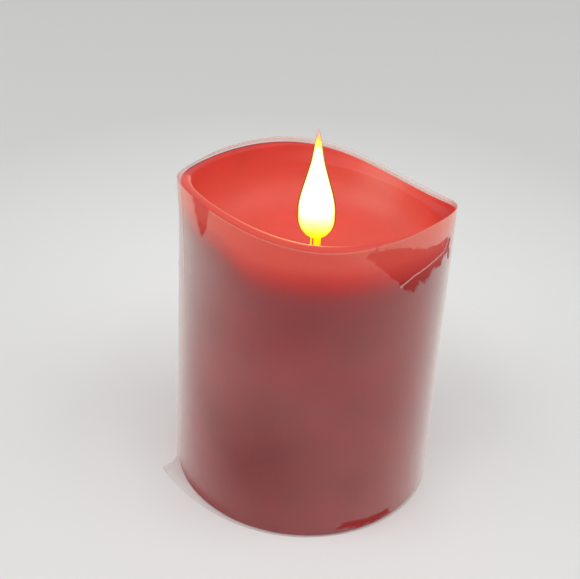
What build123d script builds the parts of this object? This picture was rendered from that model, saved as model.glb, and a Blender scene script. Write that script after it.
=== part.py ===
from build123d import *
import math
import os

# A battery pillar candle: real wax shell, clear wrap, swinging flame vane driven by a coil.
# Millimetres. The origin is on the candle's axis, on the surface it stands on; +Z is up, -Y the front.
os.makedirs("parts", exist_ok=True)

# Wax shell
candle_radius = 37.5
bore_radius = 33.3
cup_radius = 34.6
cup_floor = 69.5
cup_fillet = 10.0
wax_underside = 65.7
flame_hole_radius = 4.4
blank_height = 106.0
lip_radius = 0.9
cut_span = range(-45, 46, 9)  # points each way of the wavy face that trims the rim
rim_mean = 91.7
rim_waves = ((1, 8.05, -112.5), (2, 1.36, -37.9), (3, 2.3, -24.7))  # waves round, height, crest in degrees

# Clear wrap, standing off the wax near the floor on one side
film_radius = 37.9
film_thickness = 0.2
film_rise = 0.5
film_tilt = 1.4
film_tilt_toward = math.radians(58)
flare_height = 5.0
flare_levels = 4
flare_reach = 5.4
flare_crest = math.radians(-166)
flare_spread = math.radians(25)
film_points = 24

# Base plate with its battery box, and the door in it
plate_radius = 33.0
plate_bottom = 0.5
plate_top = 3.5
box_length = 57.2
box_width = 29.8
box_wall = 1.2
box_corner = 2.8
box_ceiling = 18.0
box_top = box_ceiling + box_wall
door_gap = 0.3
recess_depth = 1.9
recess_radius = 31.7
recess_half_length = 29.7
recess_half_width = 15.7
ear_start = 10.6
ear_edge = -26.65
door_edge = -26.0
hinge_x = -28.1
hinge_z = 1.8
barrel_radius = 1.3
hinge_pin_radius = 0.7
hinge_pin_reach = 1.5
hinge_bore_radius = 0.76
hinge_bore_length = 25.0
door_thickness = recess_depth - 0.2
notch_length = 8.0
notch_width = 3.4
notch_depth = 1.5
notch_offset = 0.6
latch_x = 27.75
latch_foot = 2.0
latch_size = (1.1, 4.4, 4.0)
grip_x = 22.5
grip_count = 4
grip_pitch = 1.6
grip_length = 9.0
grip_width = 0.7
grip_depth = 0.35
screw_x = 14.0
screw_y = 24.5
screw_clearance = 1.25
counterbore_radius = 2.4
counterbore_depth = 1.9
post_radius = 2.2

# Cells and their contacts
cell_radius = 7.1
cell_length = 50.5
cell_y = 7.45
cell_z = 10.2
cell_chamfer = 0.5
nub_length = 1.3
nub_radius = 2.75
strip = 0.3
strip_height = 10.0
strip_width = 9.2
bridge_width = 24.0
bridge_reach = 5.0
tab_width = 4.0
tab_reach = 12.3
tab_slot = (0.5, 4.4)
nub_gap = box_length / 2 - strip - nub_length
spring_end = cell_length - nub_gap
spring_wire = 0.35
spring_radius = 3.4
spring_turns = 3.5
dimple_radius = 2.4
dimple_taper = 20

# Core frame, coil, board
deck_radius = 29.5
deck_bottom = 32.0
deck_top = 34.0
tube_radius = 11.0
chamber_radius = 9.6
tube_top = 60.0
tube_window = (7.4, 6.0, 12.0)
tube_window_z = 55.0
leg_radius = 3.2
leg_pilot_radius = 1.1
leg_pilot_depth = 12.0
bobbin_top = 42.0
bobbin_radius = 9.0
bobbin_flange = 1.0
bobbin_core_radius = 3.4
bobbin_hole_radius = 1.8
coil_radius = 8.4
coil_gap = 0.05
board_bottom = 22.0
board_top = 23.6
board_size = (44.0, 26.0)
board_corner = 2.0
board_hole_x = 19.0
board_hole_y = 10.0
board_hole_radius = 1.1
board_pilot_radius = 0.95

# What is soldered to the board
chip_place = (-8.0, 2.0)
chip_size = (4.9, 3.9, 1.45)
chip_stand = 0.15
chip_pins = 4
pin_pitch = 1.27
pin_width = 0.4
pin_thickness = 0.2
capacitor_place = (13.0, -4.0)
capacitor_radius = 2.5
capacitor_height = 6.4
transistor_place = (9.0, 5.5)
transistor_radius = 2.3
transistor_flat = 1.4
transistor_stand = 2.0
transistor_height = 4.4
resistor_place = (-8.0, -7.0)
resistor_size = (2.0, 1.25, 0.55)
resistor_pitch = (3.2, 2.6)

# Flame vane, its wire, magnet and lamp
pivot_z = 64.0
vane_thickness = 1.6
wire_radius = 0.45
eye_radius = 2.5
eye_bore_radius = 0.52
tail_width = 2.9
neck_top = 77.2
neck_root = 77.6
slit_x = -0.75
slit_width = 0.45
slit_length = 6.0
slit_z = 74.3
foot_radius = 3.5
foot_top = 48.2
magnet_top = 47.2
magnet_height = 4.0
magnet_radius = 3.0
magnet_chamfer = 0.25
flame_tip = 110.9
flame_stations = ((78.4, 3.0), (80.2, 4.45), (84.5, 5.35), (90.5, 4.65), (97.2, 2.95), (105.5, 1.2))
flame_lean = 0.033
holder_top = 65.4
holder_bottom = 61.2
holder_radius = 16.0
holder_hole_radius = 6.6
holder_round = 0.6
collar_radius = 12.6
collar_depth = 5.0
cheek_length = 13.0
cheek_inner = 1.4
cheek_outer = 2.2
cheek_bottom = 60.6
cheek_height = 4.4
wire_slot_length = 5.0
pocket_depth = 8.0
pocket_block = (6.8, 6.5, 3.6)
pocket_inner = 2.9
pocket_radius = 2.0
wire_bend = 0.6
wire_end = 61.6
lamp_y = -5.3
lamp_tilt = math.radians(8)
lamp_radius = 1.5
lamp_rim_radius = 1.9
lamp_rim_height = 0.9
lamp_height = 5.2
lamp_legs = 4.2
leg_pitch = 2.54
leg_width = 0.5

# Switch
switch_y = 23.6
switch_travel = 4.0
switch_screw_x = 8.0
switch_pilot_radius = 0.9
switch_pilot_depth = 2.2
finger_slot = (13.0, 7.0)
finger_slot_depth = 1.2
can_size = (12.6, 6.4)
can_sheet = 0.5
can_top = 9.0
ear_size = (19.4, 5.0)
terminal_pitch = 2.5
terminal_size = (0.8, 0.4, 1.8)
stem_length = 3.0
stem_width = 2.4
stem_height = 4.0
slider_size = (6.4, 4.8, 2.2)
grip_groove = 0.22
groove_pitch = 0.9

# Leads
insulated = 0.55
enamelled = 0.2
lead_level = 27.0
lead_bend = 2.0
battery_lead_place = (20.5, 4.5)
switch_lead_y = 11.0
lamp_lead_x = 1.9
lamp_lead_y = -14.0
lamp_lead_slot = (7.0, 2.6)
coil_lead_x = 3.0
coil_lead_y = 7.0


standing = (Align.CENTER, Align.CENTER, Align.MIN)
hanging = (Align.CENTER, Align.CENTER, Align.MAX)


def finish(piece, label):
    piece.part.label = label
    export_step(piece.part, f"parts/{label}.step")


def rim_height(x, y):
    # height of the melted-looking rim: a tilt and two gentler waves, each fading towards the axis
    height = rim_mean
    for waves, size, crest in rim_waves:
        fade = (math.hypot(x, y) / candle_radius) ** waves
        height += size * fade * math.cos(waves * (math.atan2(y, x) - math.radians(crest)))
    return height


def space_above_rim(lift, tilt):
    # everything above the rim, or above a surface raised and tilted from it
    def height(x, y):
        towards = x * math.cos(film_tilt_toward) + y * math.sin(film_tilt_toward)
        return rim_height(x, y) + lift + tilt * towards / candle_radius

    grid = [[Vector(x, y, height(x, y)) for y in cut_span] for x in cut_span]
    surface = Face.make_surface_from_array_of_points(grid)
    return extrude(surface, amount=blank_height, dir=(0, 0, 1))


def circles_at(piece, height):
    return piece.edges().filter_by(GeomType.CIRCLE).filter_by_position(Axis.Z, height, height)


# Wax: a cast cylinder with a bowl in its top and a wide bore below
rim_space = space_above_rim(0, 0)
with BuildPart() as wax_shell:
    with BuildSketch():
        Circle(candle_radius)
    extrude(amount=blank_height)
    with BuildSketch(Plane.XY.offset(cup_floor)):
        Circle(cup_radius)
    extrude(amount=blank_height, mode=Mode.SUBTRACT)
    with BuildSketch():
        Circle(bore_radius)
    extrude(amount=wax_underside, mode=Mode.SUBTRACT)
    fillet(circles_at(wax_shell, cup_floor).sort_by(SortBy.RADIUS)[-1], cup_fillet)
    fillet(circles_at(wax_shell, wax_underside).sort_by(SortBy.RADIUS)[-1], cup_fillet)
    with Locations((0, 0, cup_floor)):
        Hole(flame_hole_radius)
    add(rim_space, mode=Mode.SUBTRACT)
    rim_edges = wax_shell.edges().filter_by(GeomType.BSPLINE)
    fillet(rim_edges, lip_radius)
finish(wax_shell, "wax_shell")


def film_ring(height, inset):
    # points round the film, which flares out near the floor on one side
    ring = []
    for step in range(film_points):
        angle = math.tau * step / film_points
        off_crest = math.remainder(angle - flare_crest, math.tau)
        nearness = math.exp(-((off_crest / flare_spread) ** 2))
        flare = flare_reach * (1 - height / flare_height) ** 2 * nearness
        radius = film_radius + flare - inset
        ring.append((radius * math.cos(angle), radius * math.sin(angle)))
    return ring


film_space = space_above_rim(film_rise, film_tilt)
with BuildPart() as wrap_film:
    for inset, mode in ((0, Mode.ADD), (film_thickness, Mode.SUBTRACT)):
        for level in range(flare_levels + 1):
            height = flare_height * level / flare_levels
            with BuildSketch(Plane.XY.offset(height)):
                with BuildLine():
                    Spline(*film_ring(height, inset), periodic=True)
                make_face()
        loft(mode=mode)
        with BuildSketch(Plane.XY.offset(flare_height)):
            with BuildLine():
                Spline(*film_ring(flare_height, inset), periodic=True)
            make_face()
        extrude(amount=blank_height - flare_height, mode=mode)
    add(film_space, mode=Mode.SUBTRACT)
finish(wrap_film, "wrap_film")


def door_outline(edge, clearance):
    # the flap's own outline, or the recess that it lies in when the clearance is zero
    length = recess_half_length - clearance - edge
    with Locations((edge + length / 2, 0)):
        Rectangle(length, 2 * (recess_half_width - clearance))
    Circle(recess_radius - clearance, mode=Mode.INTERSECT)


# Base plate: disc, battery box, hinge ears, screw holes, switch slot and board posts in one moulding
with BuildPart() as base_plate:
    with BuildSketch(Plane.XY.offset(plate_bottom)):
        Circle(plate_radius)
    extrude(amount=plate_top - plate_bottom)
    with BuildSketch(Plane.XY.offset(plate_bottom)):
        RectangleRounded(box_length + 2 * box_wall, box_width + 2 * box_wall, box_corner + box_wall)
    extrude(amount=box_top - plate_bottom)
    with BuildSketch(Plane.XY.offset(plate_bottom)):
        RectangleRounded(box_length, box_width, box_corner)
    extrude(amount=box_ceiling - plate_bottom, mode=Mode.SUBTRACT)
    with BuildSketch(Plane.XY.offset(plate_bottom)):
        door_outline(ear_edge, 0)
    extrude(amount=recess_depth, mode=Mode.SUBTRACT)
    ear_depth = recess_half_length + ear_edge
    ear_x = ear_edge - ear_depth / 2
    ear_y = (ear_start + recess_half_width) / 2
    with BuildSketch(Plane.XY.offset(plate_bottom)):
        with Locations((ear_x, -ear_y), (ear_x, ear_y)):
            Rectangle(ear_depth, recess_half_width - ear_start)
        Circle(plate_radius, mode=Mode.INTERSECT)
    extrude(amount=plate_top - plate_bottom)
    with BuildSketch(Plane.XY.offset(plate_bottom)):
        with Locations((ear_x, 0)):
            Rectangle(ear_depth, 2 * ear_start)
    extrude(amount=2 * barrel_radius + door_gap, mode=Mode.SUBTRACT)
    with Locations(Location((hinge_x, 0, hinge_z), (90, 0, 0))):
        Cylinder(hinge_bore_radius, hinge_bore_length, mode=Mode.SUBTRACT)
    with BuildSketch(Plane.XY.offset(plate_bottom)):
        with Locations((recess_half_length + notch_offset, 0)):
            SlotCenterToCenter(notch_length, notch_width, rotation=90)
    extrude(amount=notch_depth, mode=Mode.SUBTRACT)
    with Locations(Plane.XY.offset(plate_bottom)):
        with GridLocations(2 * screw_x, 2 * screw_y, 2, 2):
            Cylinder(screw_clearance, box_top, mode=Mode.SUBTRACT)
            Cylinder(counterbore_radius, counterbore_depth, align=standing, mode=Mode.SUBTRACT)
    with BuildSketch(Plane.XY.offset(plate_bottom)):
        with Locations((0, switch_y)):
            SlotOverall(*finger_slot)
    extrude(amount=finger_slot_depth, mode=Mode.SUBTRACT)
    with BuildSketch(Plane.XY.offset(plate_top)):
        with Locations((0, switch_y)):
            with GridLocations(2 * switch_screw_x, 0, 2, 1):
                Circle(switch_pilot_radius)
    extrude(amount=-switch_pilot_depth, mode=Mode.SUBTRACT)
    with BuildSketch(Plane.XY.offset(plate_bottom)):
        with Locations((0, switch_y)):
            Rectangle(stem_length + switch_travel + 2 * door_gap, stem_width + 0.4)
    extrude(amount=plate_top, mode=Mode.SUBTRACT)
    with BuildSketch(Plane.XY.offset(box_ceiling)):
        with Locations(((box_length - tab_slot[0]) / 2, 0)):
            with GridLocations(0, 2 * cell_y, 1, 2):
                Rectangle(*tab_slot)
    extrude(amount=2 * box_wall, mode=Mode.SUBTRACT)
    with BuildSketch(Plane.XY.offset(box_top)):
        with GridLocations(2 * board_hole_x, 2 * board_hole_y, 2, 2):
            Circle(post_radius)
            Circle(board_pilot_radius, mode=Mode.SUBTRACT)
    extrude(amount=board_bottom - box_top)
finish(base_plate, "base_plate")

# Battery door: flap, hinge barrel with two pins, and a springy latch tab
with BuildPart() as battery_door:
    with BuildSketch(Plane.XY.offset(plate_bottom)):
        door_outline(door_edge, door_gap)
        with Locations(((hinge_x + door_edge) / 2, 0)):
            Rectangle(door_edge - hinge_x, 2 * (ear_start - door_gap))
    extrude(amount=door_thickness)
    with Locations(Location((hinge_x, 0, hinge_z), (90, 0, 0))):
        Cylinder(barrel_radius, 2 * (ear_start - door_gap))
        Cylinder(hinge_pin_radius, 2 * (ear_start + hinge_pin_reach))
    with Locations((latch_x, 0, latch_foot)):
        Box(*latch_size, align=standing)
    with BuildSketch(Plane.XY.offset(plate_bottom)):
        with Locations((grip_x, 0)):
            with GridLocations(grip_pitch, 0, grip_count, 1):
                SlotOverall(grip_length, grip_width, rotation=90)
    extrude(amount=grip_depth, mode=Mode.SUBTRACT)
finish(battery_door, "battery_door")


def cell(side):
    # one AA cell lying along X, its positive nub towards +X when side is 1
    axis = Plane((-side * spring_end, side * cell_y, cell_z), z_dir=(side, 0, 0))
    with BuildPart() as battery:
        with BuildSketch(axis):
            Circle(cell_radius)
        extrude(amount=cell_length - nub_length)
        chamfer(battery.edges().filter_by(GeomType.CIRCLE), cell_chamfer)
        with BuildSketch(axis.offset(cell_length - nub_length)):
            Circle(nub_radius)
        extrude(amount=nub_length)
    return battery


finish(cell(1), "battery_left")
finish(cell(-1), "battery_right")


# Contacts: plated strips on the end walls, with springs for the flat cell ends and dimples for the nubs
def strip_on_wall(side, middle, width, reach):
    with BuildPart() as plate:
        with Locations((side * (box_length - strip) / 2, middle, cell_z)):
            Box(strip, width, strip_height)
            Box(strip, tab_width, reach, align=standing)
    return plate.part


def spring_on_wall(side):
    sunk = 0.05  # the last turn is let this far into the strip, as a weld
    foot = box_length / 2 - strip - spring_wire + sunk
    height = foot - spring_end - spring_wire
    start = (side * foot, -side * cell_y, cell_z)
    with BuildPart() as spring:
        with BuildLine():
            turns = Helix(height / spring_turns, height, spring_radius, start, (-side, 0, 0))
        with BuildSketch(Plane(turns @ 0, z_dir=turns % 0)):
            Circle(spring_wire)
        sweep(path=turns)
    return spring.part


def dimple_on_wall(side):
    wall = Plane((side * (box_length / 2 - strip), side * cell_y, cell_z), z_dir=(-side, 0, 0))
    with BuildPart() as dimple:
        with BuildSketch(wall):
            Circle(dimple_radius)
        extrude(amount=nub_length, taper=dimple_taper)
    return dimple.part


with BuildPart() as positive_contact:
    add(strip_on_wall(1, cell_y, strip_width, tab_reach))
    add(dimple_on_wall(1))
finish(positive_contact, "positive_contact")

with BuildPart() as negative_contact:
    add(strip_on_wall(1, -cell_y, strip_width, tab_reach))
    add(spring_on_wall(1))
finish(negative_contact, "negative_contact")

with BuildPart() as bridge_contact:
    add(strip_on_wall(-1, 0, bridge_width, bridge_reach))
    add(spring_on_wall(-1))
    add(dimple_on_wall(-1))
finish(bridge_contact, "bridge_contact")

# Core frame: deck on four screw legs, with the chamber that the magnet swings in
with BuildPart() as core_frame:
    with BuildSketch(Plane.XY.offset(deck_bottom)):
        Circle(deck_radius)
        with Locations((-coil_lead_x, coil_lead_y), (coil_lead_x, coil_lead_y)):
            Circle(4 * enamelled, mode=Mode.SUBTRACT)
        with Locations((0, lamp_lead_y)):
            SlotOverall(*lamp_lead_slot, mode=Mode.SUBTRACT)
    extrude(amount=deck_top - deck_bottom)
    with BuildSketch(Plane.XY.offset(deck_top)):
        Circle(tube_radius)
        Circle(chamber_radius, mode=Mode.SUBTRACT)
    extrude(amount=tube_top - deck_top)
    with Locations((0, -tube_radius, tube_window_z)):
        Box(*tube_window, mode=Mode.SUBTRACT)
    with BuildSketch(Plane.XY.offset(plate_top)):
        with GridLocations(2 * screw_x, 2 * screw_y, 2, 2):
            Circle(leg_radius)
    extrude(amount=deck_bottom - plate_top)
    with BuildSketch(Plane.XY.offset(plate_top)):
        with GridLocations(2 * screw_x, 2 * screw_y, 2, 2):
            Circle(leg_pilot_radius)
    extrude(amount=leg_pilot_depth, mode=Mode.SUBTRACT)
finish(core_frame, "core_frame")

# Coil on its bobbin, under the magnet
with BuildPart() as coil_bobbin:
    with BuildSketch(Plane.XY.offset(deck_top)):
        Circle(bobbin_radius)
    extrude(amount=bobbin_top - deck_top)
    with BuildSketch(Plane.XY.offset(deck_top + bobbin_flange)):
        Circle(bobbin_radius)
        Circle(bobbin_core_radius, mode=Mode.SUBTRACT)
    extrude(amount=bobbin_top - deck_top - 2 * bobbin_flange, mode=Mode.SUBTRACT)
    with Locations((0, 0, bobbin_top)):
        Hole(bobbin_hole_radius)
finish(coil_bobbin, "coil_bobbin")

with BuildPart() as drive_coil:
    coil_inset = bobbin_flange + coil_gap
    with BuildSketch(Plane.XY.offset(deck_top + coil_inset)):
        Circle(coil_radius)
        Circle(bobbin_core_radius + coil_gap, mode=Mode.SUBTRACT)
    extrude(amount=bobbin_top - deck_top - 2 * coil_inset)
    fillet(drive_coil.edges().filter_by(GeomType.CIRCLE).group_by(SortBy.RADIUS)[-1], 0.4)
finish(drive_coil, "drive_coil")

# Flame holder: ring glued under the wax floor, two cheeks for the pivot wire, a pocket for the lamp
lamp_axis = (0, math.sin(lamp_tilt), math.cos(lamp_tilt))
lamp_plane = Plane((0, lamp_y, holder_bottom), x_dir=(1, 0, 0), z_dir=lamp_axis)
lamp_foot = lamp_plane.offset(-1.0)
with BuildPart() as flame_holder:
    with BuildSketch(Plane.XY.offset(holder_bottom)):
        Circle(holder_radius)
    extrude(amount=holder_top - holder_bottom)
    fillet(circles_at(flame_holder, holder_top), holder_round)
    with Locations((0, 0, holder_top)):
        Hole(holder_hole_radius)
    with BuildSketch(Plane.XY.offset(holder_bottom)):
        Circle(collar_radius)
        Circle(tube_radius + 0.1, mode=Mode.SUBTRACT)
    extrude(amount=-collar_depth)
    with Locations((0, -pocket_inner - pocket_block[1] / 2, holder_bottom)):
        Box(*pocket_block, align=hanging)
    for side in (-1, 1):
        with Locations((0, side * (cheek_inner + cheek_outer) / 2, cheek_bottom)):
            Box(cheek_length, cheek_outer - cheek_inner, cheek_height, align=standing)
    with Locations(Location((0, 0, pivot_z), (90, 0, 0))):
        Cylinder(wire_radius, wire_slot_length, mode=Mode.SUBTRACT)
    with Locations((0, 0, pivot_z)):
        Box(2 * wire_radius, wire_slot_length, holder_top - pivot_z, align=standing, mode=Mode.SUBTRACT)
    with BuildSketch(lamp_foot):
        Circle(pocket_radius)
    extrude(amount=pocket_depth, mode=Mode.SUBTRACT)
    with BuildSketch(lamp_plane):
        with GridLocations(leg_pitch, 0, 2, 1):
            Circle(leg_width)
    extrude(amount=-pocket_depth, mode=Mode.SUBTRACT)
finish(flame_holder, "flame_holder")

with BuildPart() as flame_lamp:
    with BuildSketch(lamp_foot):
        Circle(lamp_rim_radius)
    extrude(amount=lamp_rim_height)
    with BuildSketch(lamp_foot):
        Circle(lamp_radius)
    extrude(amount=lamp_height)
    fillet(flame_lamp.edges().filter_by(GeomType.CIRCLE).sort_by(Axis.Z)[-1], lamp_radius - 0.05)
    with BuildSketch(lamp_foot):
        with GridLocations(leg_pitch, 0, 2, 1):
            Rectangle(leg_width, leg_width)
    extrude(amount=-lamp_legs)
finish(flame_lamp, "flame_lamp")

with BuildPart() as pivot_wire:
    leg = cheek_outer + 0.55
    down = (0, -leg, wire_end), (0, -leg, pivot_z)
    back_down = (0, leg, pivot_z), (0, leg, wire_end)
    with BuildLine() as bent:
        FilletPolyline(*down, *back_down, radius=wire_bend)
    with BuildSketch(Plane(bent.line @ 0, z_dir=bent.line % 0)):
        Circle(wire_radius - 0.02)
    sweep(path=bent.line)
finish(pivot_wire, "pivot_wire")


def flame_edge(side):
    # one long side of the flame, leaning a little as it rises
    belly = flame_stations[0][0]
    return [(side * half - flame_lean * (height - belly), height) for height, half in flame_stations]


# Swinging flame: flat moulded vane with a slit neck, an eye for the wire and a foot for the magnet
with BuildPart() as flame_vane:
    tip = (-flame_lean * (flame_tip - flame_stations[0][0]), flame_tip)
    with BuildSketch(Plane.XZ):
        with BuildLine():
            left = Spline((-tail_width / 2, neck_top), *flame_edge(-1), tip)
            right = Spline(tip, *reversed(flame_edge(1)), (tail_width / 2, neck_top))
            Line(right @ 1, left @ 0)
        make_face()
        with Locations((0, (foot_top + neck_root) / 2)):
            Rectangle(tail_width, neck_root - foot_top)
        with Locations((slit_x, slit_z)):
            Rectangle(slit_width, slit_length, mode=Mode.SUBTRACT)
        with Locations((0, pivot_z)):
            Circle(eye_radius)
            Circle(eye_bore_radius, mode=Mode.SUBTRACT)
    extrude(amount=vane_thickness / 2, both=True)
    with BuildSketch(Plane.XY.offset(magnet_top)):
        Circle(foot_radius)
    extrude(amount=foot_top - magnet_top)
finish(flame_vane, "flame_vane")

with BuildPart() as swing_magnet:
    with BuildSketch(Plane.XY.offset(magnet_top)):
        Circle(magnet_radius)
    extrude(amount=-magnet_height)
    chamfer(swing_magnet.edges(), magnet_chamfer)
finish(swing_magnet, "swing_magnet")


# Circuit board on the battery box, with what is soldered to it
with BuildPart() as circuit_board:
    with BuildSketch(Plane.XY.offset(board_bottom)):
        RectangleRounded(*board_size, board_corner)
        with GridLocations(2 * board_hole_x, 2 * board_hole_y, 2, 2):
            Circle(board_hole_radius, mode=Mode.SUBTRACT)
    extrude(amount=board_top - board_bottom)
finish(circuit_board, "circuit_board")

with BuildPart() as control_chip:
    chip_x, chip_y = chip_place
    with Locations((chip_x, chip_y, board_top + chip_stand)):
        Box(*chip_size, align=standing)
    chamfer(control_chip.faces().sort_by(Axis.Z)[-1].edges(), 0.2)
    for side in (-1, 1):
        with Locations((chip_x, chip_y + side * 2.2, board_top + 3 * pin_thickness)):
            with GridLocations(pin_pitch, 0, chip_pins, 1):
                Box(pin_width, 0.8, pin_thickness)
        with Locations((chip_x, chip_y + side * 2.75, board_top)):
            with GridLocations(pin_pitch, 0, chip_pins, 1):
                Box(pin_width, 0.5, 3.5 * pin_thickness, align=standing)
finish(control_chip, "control_chip")

with BuildPart() as smoothing_capacitor:
    with BuildSketch(Plane.XY.offset(board_top)):
        with Locations(capacitor_place):
            Circle(capacitor_radius)
    extrude(amount=capacitor_height)
    fillet(smoothing_capacitor.faces().sort_by(Axis.Z)[-1].edges(), 0.4)
finish(smoothing_capacitor, "smoothing_capacitor")

with BuildPart() as coil_transistor:
    width = 2 * transistor_radius
    with BuildSketch(Plane.XY.offset(board_top + transistor_stand)):
        with Locations(transistor_place):
            Circle(transistor_radius)
            with Locations((0, -transistor_flat)):
                Rectangle(width, width, align=(Align.CENTER, Align.MAX), mode=Mode.SUBTRACT)
    extrude(amount=transistor_height)
    with BuildSketch(Plane.XY.offset(board_top)):
        with Locations(transistor_place):
            with GridLocations(pin_pitch, 0, 3, 1):
                Rectangle(pin_width, pin_width)
    extrude(amount=transistor_stand)
finish(coil_transistor, "coil_transistor")

with BuildPart() as chip_resistors:
    with Locations((*resistor_place, board_top)):
        with GridLocations(*resistor_pitch, 4, 2):
            Box(*resistor_size, align=standing)
finish(chip_resistors, "chip_resistors")


# Slide switch: metal can on the plate, terminal board on top, sliding knob through the plate
with BuildPart() as switch_can:
    can_height = can_top - plate_top
    inside = [side - 2 * can_sheet for side in can_size]
    with Locations((0, switch_y, plate_top)):
        Box(*can_size, can_height, align=standing)
        Box(*ear_size, can_sheet, align=standing)
        Box(*inside, can_height, align=standing, mode=Mode.SUBTRACT)
        with GridLocations(2 * switch_screw_x, 0, 2, 1):
            Cylinder(switch_pilot_radius, 4 * can_sheet, mode=Mode.SUBTRACT)
finish(switch_can, "switch_can")

with BuildPart() as switch_terminals:
    loose_fit = [side - 0.1 for side in inside]
    with Locations((0, switch_y, can_top)):
        Box(*loose_fit, 2 * can_sheet, align=hanging)
        with GridLocations(terminal_pitch, 0, 3, 1):
            Box(*terminal_size, align=standing)
finish(switch_terminals, "switch_terminals")

with BuildPart() as switch_knob:
    knob_x = -switch_travel / 2
    with Locations((knob_x, switch_y, plate_top + 0.3)):
        Box(*slider_size, align=standing)
    with Locations((knob_x, switch_y, plate_bottom + 0.1)):
        Box(stem_length, stem_width, stem_height, align=standing)
        with GridLocations(groove_pitch, 0, 3, 1):
            Cylinder(grip_groove, stem_width, rotation=(90, 0, 0), mode=Mode.SUBTRACT)
finish(switch_knob, "switch_knob")


# Screws with pan heads and cross recesses; head and shank are each a radius and a length
def screws(places, seat, direction, head, shank):
    cross = (head[0] * 1.1, head[0] * 0.26)
    with BuildPart() as group:
        for x, y in places:
            spot = Plane((x, y, seat), x_dir=(1, 0, 0), z_dir=(0, 0, direction))
            with BuildSketch(spot):
                Circle(head[0])
            extrude(amount=head[1])
            with BuildSketch(spot):
                Circle(shank[0])
            extrude(amount=-shank[1])
            with BuildSketch(spot.offset(head[1])):
                Rectangle(*cross)
                Rectangle(*cross, rotation=90)
            extrude(amount=-head[1] * 0.55, mode=Mode.SUBTRACT)
        crowns = group.faces().filter_by(Plane.XY).group_by(Axis.Z)[-1 if direction > 0 else 0]
        chamfer(crowns.edges().filter_by(GeomType.CIRCLE), 0.25)
    return group


def corners(x, y):
    return [(sx * x, sy * y) for sx in (-1, 1) for sy in (-1, 1)]


in_ears = [(-switch_screw_x, switch_y), (switch_screw_x, switch_y)]
base_seat = plate_bottom + counterbore_depth
finish(screws(corners(screw_x, screw_y), base_seat, -1, (2.1, 1.5), (1.05, 12.0)), "base_screws")
finish(screws(corners(board_hole_x, board_hole_y), board_top, 1, (1.8, 1.1), (0.9, 4.0)), "board_screws")
finish(screws(in_ears, plate_top + can_sheet, 1, (1.5, 1.0), (0.85, 2.6)), "switch_screws")


# Leads, along their real routes
def lead(route, bends, radius):
    with BuildPart() as wire:
        with BuildLine() as path:
            FilletPolyline(*route, radius=bends)
        with BuildSketch(Plane(path.line @ 0, z_dir=path.line % 0)):
            Circle(radius)
        sweep(path=path.line)
    return wire


tab_x = (box_length - strip) / 2
tab_top = cell_z + tab_reach
for side, name in ((1, "red_battery_lead"), (-1, "black_battery_lead")):
    up = (tab_x, side * cell_y, tab_top), (tab_x, side * cell_y, lead_level)
    x, y = battery_lead_place
    down = (x, side * y, lead_level), (x, side * y, board_top)
    finish(lead((*up, *down), lead_bend, insulated), name)
for place, name in ((-1, "switch_lead_on"), (0, "switch_lead_common"), (1, "switch_lead_timer")):
    x = place * terminal_pitch
    up = (x, switch_y, can_top + terminal_size[2]), (x, switch_y, lead_level)
    down = (x, switch_lead_y, lead_level), (x, switch_lead_y, board_top)
    finish(lead((*up, *down), lead_bend, insulated), name)
for side, name in ((-1, "lamp_lead_black"), (1, "lamp_lead_red")):
    x = side * lamp_lead_x
    route = (
        lamp_plane.from_local_coords((side * leg_pitch / 2, 0, -lamp_height)),
        (side * leg_pitch / 2, -6.6, 52.6),
        (x, lamp_lead_y, 51.0),
        (x, lamp_lead_y, lead_level),
        (x, -10.5, 26.6),
        (x, -10.5, board_top),
    )
    finish(lead(route, (1.5, 1.5, 1.5, 1.2), insulated), name)
for side, name in ((-1, "coil_lead_left"), (1, "coil_lead_right")):
    x = side * coil_lead_x
    route = (
        (x, coil_lead_y, deck_top),
        (x, coil_lead_y, lead_level),
        (x, 4.0, 26.6),
        (x, 4.0, board_top),
    )
    finish(lead(route, 1.2, enamelled), name)
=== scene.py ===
import bpy
import bmesh
import math
from mathutils import Matrix, Vector, noise


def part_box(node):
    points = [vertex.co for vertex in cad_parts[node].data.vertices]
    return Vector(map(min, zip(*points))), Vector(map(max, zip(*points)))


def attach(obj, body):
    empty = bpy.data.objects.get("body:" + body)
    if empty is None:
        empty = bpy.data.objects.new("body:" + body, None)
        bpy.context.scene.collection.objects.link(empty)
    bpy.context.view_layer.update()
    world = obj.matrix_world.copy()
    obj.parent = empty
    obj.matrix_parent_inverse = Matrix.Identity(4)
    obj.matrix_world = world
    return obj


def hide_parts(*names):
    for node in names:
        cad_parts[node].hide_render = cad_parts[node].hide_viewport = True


# A red wax LED pillar in its clear wrap. Everything is in metres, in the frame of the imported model.
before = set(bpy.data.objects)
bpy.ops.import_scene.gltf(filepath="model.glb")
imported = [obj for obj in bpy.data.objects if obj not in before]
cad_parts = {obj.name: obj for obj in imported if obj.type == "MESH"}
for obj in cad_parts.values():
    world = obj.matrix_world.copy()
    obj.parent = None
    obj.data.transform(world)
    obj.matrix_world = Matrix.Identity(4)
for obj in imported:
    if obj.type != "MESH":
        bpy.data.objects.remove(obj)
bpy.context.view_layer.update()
scene = bpy.context.scene
mm = 0.001
print("frame loaded:", len(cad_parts), "nodes")


def linearColour(hexText, alpha=1.0):
    # sRGB hex to the linear values that the shader sockets take
    parts = [int(hexText[i:i + 2], 16) / 255 for i in (1, 3, 5)]
    return [c / 12.92 if c <= 0.04045 else ((c + 0.055) / 1.055) ** 2.4 for c in parts] + [alpha]


def feed(tree, node, inputs):
    # each input takes a value, a socket, or another node's first output
    for key, value in inputs.items():
        source = value.outputs[0] if isinstance(value, bpy.types.Node) else value
        if isinstance(source, bpy.types.NodeSocket):
            tree.links.new(source, node.inputs[key])
        else:
            node.inputs[key].default_value = source


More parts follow.
